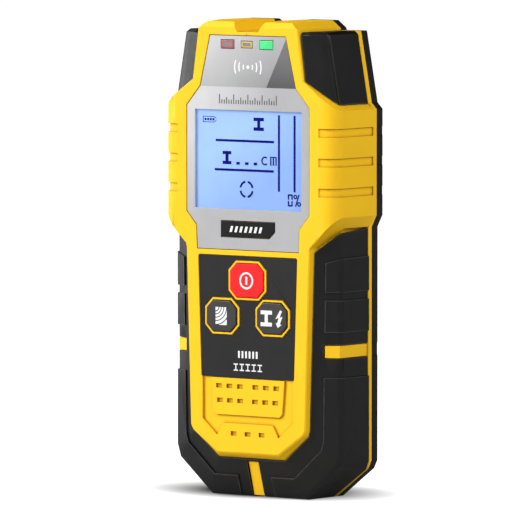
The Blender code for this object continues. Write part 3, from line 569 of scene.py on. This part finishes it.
def display_symbols():
    """The display's segments: battery, beams, rules, unit, target ring and strength bars."""
    outlines = beam(4.8, 154.6, 5.2, 5.4, 1.4, 1.4) + beam(-11.6, 140.4, 4.4, 5.4, 1.3, 1.5)
    outlines += [bar(-2.4, 147.5, 30.0, 0.95), bar(-2.7, 135.4, 30.4, 0.95)]
    outlines += [bar(x, 138.2, 1.7, 1.1) for x in (-5.9, -1.4, 3.1)]
    outlines += [bar(15.2, 142.9, 0.95, 31.4), bar(23.2, 142.9, 0.95, 31.4)]
    outlines += [sector(-1.5, 127.6, 2.75, 3.6, 90 * i + 12, 90 * i + 78) for i in range(4)]
    outlines += zero_digit(21.0, 123.8, 2.4, 5.0, 0.6)
    outlines += [slash(24.6, 123.8, 1.8, 5.0, 0.55)]
    outlines += ring(23.6, 125.3, 0.45, 0.95) + ring(25.5, 122.3, 0.45, 0.95)
    # The battery: its case in strokes that meet at the tip, and four cells.
    outlines += [bar(-21.0, 157.15, 5.8, 0.22), bar(-21.0, 154.85, 5.8, 0.22)]
    outlines += [bar(-23.9, 156.0, 0.22, 2.5)]
    outlines += [[(-18.1, 156.0 + s * 1.26), (-18.1, 156.0 + s * 1.04), (-17.3, 156.0 + s * 0.3),
                  (-17.0, 156.0 + s * 0.4)] for s in (-1, 1)]
    outlines += [bar(-22.7 + 1.35 * i, 156.0, 0.9, 0.9) for i in range(4)]
    # The length unit, as strokes.
    outlines += [sector(8.0, 139.6, 1.25, 1.85, 50, 310)]
    outlines += [bar(x, 139.4, 0.55, 3.3) for x in (11.0, 12.35, 13.7)]
    outlines += [bar(12.35, 141.2, 3.2, 0.45)]
    symbol("display_symbols", outlines, depth_of("lcd_glass") - LCD_PROUD, "lcd_ink")


def window_symbols():
    """A sensing symbol above and a measuring scale below, printed on the window."""
    depth = depth_of("display_window") - WINDOW_PROUD
    z = 178.0
    waves = [arc(0.0, z, 0.75, 0, 350, 18)]
    for radius in (2.4, 4.6, 6.8):
        for middle in (0, 180):
            waves.append(sector(0.0, z, radius - 0.32, radius + 0.32, middle - 24, middle + 24))
    symbol("sensing_symbol", waves, depth, "print_white")
    pitch, count = 1.22, 25
    ticks = []
    for i in range(count):
        height = 3.9 if i % 6 == 0 else 2.7 if i % 3 == 0 else 1.7
        ticks.append(bar((i - (count - 1) / 2) * pitch, 162.7 + height / 2, 0.42, height))
    symbol("scale_symbol", ticks, depth, "print_dark")


def panel_symbol():
    """Two rows of small plain marks under the buttons."""
    marks = [bar(-4.6 + 1.84 * i, 59.3, 0.9, 2.9) for i in range(6)]
    for i in range(5):
        marks += beam(-6.2 + 3.1 * i, 54.0, 2.2, 3.0, 0.5, 0.5)
    symbol("panel_symbol", marks, depth_of("keypad_panel") - PROUD, "print_white")


def badge_symbol():
    """Slanted bars in place of a mark."""
    x, z = middle_of("badge_plate")
    bars = []
    for i in range(7):
        start = x - 9.4 + 2.5 * i
        bars.append([(start, z - 1.25), (start + 1.2, z - 1.25), (start + 2.0, z + 1.25),
                     (start + 0.8, z + 1.25)])
    symbol("badge_symbol", bars, depth_of("badge_plate") - PROUD, "print_white")


def indicator_faces():
    """Grey panes inside the coloured rims of the two unlit indicators."""
    for name in ("red", "amber"):
        lens = f"indicator_lens_{name}"
        low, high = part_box(lens)
        width = (high.x - low.x) / MM * PANE_SHARE
        height = (high.z - low.z) / MM * PANE_SHARE * PANE_SQUAT
        symbol(f"indicator_pane_{name}", [bar(*middle_of(lens), width, height)],
               depth_of(lens) - PANE_PROUD, "pane_grey")


def notch_tick():
    """A small marker under the notch in the cap."""
    symbol("notch_tick", [[(-0.8, 191.1), (0.0, 191.1), (-0.4, 192.3)]], -PANE_PROUD,
           "tick_orange")


power_symbol()
timber_symbol()
metal_symbol()
display_symbols()
window_symbols()
panel_symbol()
badge_symbol()
indicator_faces()
notch_tick()


# ---------------------------------------------------------------- camera, light and floor

AZIMUTH = math.radians(37.0)
ELEVATION = math.radians(3.77)
CAMERA_DISTANCE = 3.458
CAMERA_TARGET = place(6.47, 0, 97.14)
LENS = 572.9
SENSOR_WIDTH = 36


def add_camera():
    """A long lens from the front right, a little above the middle of the scanner."""
    back = Vector((math.sin(AZIMUTH) * math.cos(ELEVATION),
                   -math.cos(AZIMUTH) * math.cos(ELEVATION), math.sin(ELEVATION)))
    data = bpy.data.cameras.new("camera")
    data.lens = LENS
    data.sensor_width = SENSOR_WIDTH
    data.clip_end = 50
    camera = bpy.data.objects.new("camera", data)
    bpy.context.scene.collection.objects.link(camera)
    camera.location = CAMERA_TARGET + back * CAMERA_DISTANCE
    camera.rotation_mode = "QUATERNION"
    camera.rotation_quaternion = (-back).to_track_quat("-Z", "Y")
    bpy.context.scene.camera = camera


LIGHT_AIM = Vector((0, 0, 0.1))


def add_light(name, spot, size, power):
    data = bpy.data.lights.new(name, "AREA")
    data.shape = "RECTANGLE"
    data.size, data.size_y = size
    data.energy = power
    lamp = bpy.data.objects.new(name, data)
    bpy.context.scene.collection.objects.link(lamp)
    lamp.location = spot
    lamp.rotation_mode = "QUATERNION"
    lamp.rotation_quaternion = (LIGHT_AIM - Vector(spot)).to_track_quat("-Z", "Y")


# The contact shadow's oval on the floor, in metres: the offset that centres it, how much its
# depth is squeezed, and where it starts and ends fading out.
SHADOW_OFFSET = (0.015, -0.025)
SHADOW_SQUEEZE = 1.4
SHADOW_REACH = (0.028, 0.062)
FLOOR_HALF = 12.0           # half the floor's width
FLOOR_DROP = 0.3 * MM       # how far it lies below the scanner


def add_stage():
    """A pale floor with a contact shadow painted on it, which fades to white further out."""
    shape = bmesh.new()
    bmesh.ops.create_grid(shape, x_segments=4, y_segments=4, size=FLOOR_HALF)
    mesh = bpy.data.meshes.new("floor")
    shape.to_mesh(mesh)
    shape.free()
    floor = bpy.data.objects.new("floor", mesh)
    bpy.context.scene.collection.objects.link(floor)
    floor.location.z = -FLOOR_DROP
    n = Nodes("floor")
    oval = n.add("ShaderNodeMapping")
    oval.inputs["Location"].default_value = (*SHADOW_OFFSET, 0.0)
    oval.inputs["Scale"].default_value = (1.0, SHADOW_SQUEEZE, 1.0)
    n.link(n.coords.outputs["Object"], oval.inputs["Vector"])
    reach = n.add("ShaderNodeVectorMath", operation="LENGTH")
    n.link(oval.outputs["Vector"], reach.inputs[0])
    near = n.remap(reach.outputs["Value"], *SHADOW_REACH, 0.0, 1.0)
    pale = n.ramp(n.noise(3, 2.0), [(0.3, (0.48, 0.48, 0.48)), (0.7, (0.5, 0.5, 0.5))])
    n.link(n.mix(near, (0.1, 0.1, 0.1), pale), n.shader.inputs["Base Color"])
    n.shader.inputs["Roughness"].default_value = 0.7
    n.shader.inputs["Specular IOR Level"].default_value = 0.1
    n.shader.inputs["Emission Color"].default_value = (1, 1, 1, 1)
    seen = n.add("ShaderNodeLightPath").outputs["Is Camera Ray"]
    fade = n.remap(near, 0.0, 1.0, 0.0, 0.9)
    n.link(n.math("MULTIPLY", fade, seen), n.shader.inputs["Emission Strength"])
    mesh.materials.append(n.material)


BRIGHT_SIDE = (-0.5, -0.84, 0.22)
SKY_SPAN = {"From Min": -0.15, "From Max": 0.95, "To Min": 0.03, "To Max": 0.72}


def add_world():
    """A studio that is bright at the front left, dim elsewhere, and shows as plain white."""
    world = bpy.data.worlds.new("studio")
    bpy.context.scene.world = world
    world.use_nodes = True
    tree = world.node_tree

    def add(kind):
        return tree.nodes.new(kind)

    facing = add("ShaderNodeVectorMath")
    facing.operation = "DOT_PRODUCT"
    facing.inputs[1].default_value = BRIGHT_SIDE
    tree.links.new(add("ShaderNodeTexCoord").outputs["Generated"], facing.inputs[0])
    ramp = add("ShaderNodeMapRange")
    for key, number in SKY_SPAN.items():
        ramp.inputs[key].default_value = number
    tree.links.new(facing.outputs["Value"], ramp.inputs["Value"])
    glow = tree.nodes["Background"]
    tree.links.new(ramp.outputs["Result"], glow.inputs["Strength"])
    wall = add("ShaderNodeBackground")
    for shader in (glow, wall):
        shader.inputs["Color"].default_value = (1, 1, 1, 1)
    mix = add("ShaderNodeMixShader")
    tree.links.new(add("ShaderNodeLightPath").outputs["Is Camera Ray"], mix.inputs["Fac"])
    tree.links.new(glow.outputs["Background"], mix.inputs[1])
    tree.links.new(wall.outputs["Background"], mix.inputs[2])
    tree.links.new(mix.outputs["Shader"], tree.nodes["World Output"].inputs["Surface"])
    bpy.context.scene.view_settings.view_transform = "Standard"


add_camera()
add_stage()
add_world()
# Each light with its place and size in metres and its power in watts.
add_light("key", (-1.2, -1.35, 1.0), (1.2, 1.2), 39.5)
add_light("side", (1.5, 1.1, 0.5), (1.1, 1.1), 2.2)
add_light("rim", (-1.7, 0.05, 0.3), (0.5, 1.3), 7)
add_light("over", (1.4, -0.35, 1.0), (0.9, 0.9), 15)
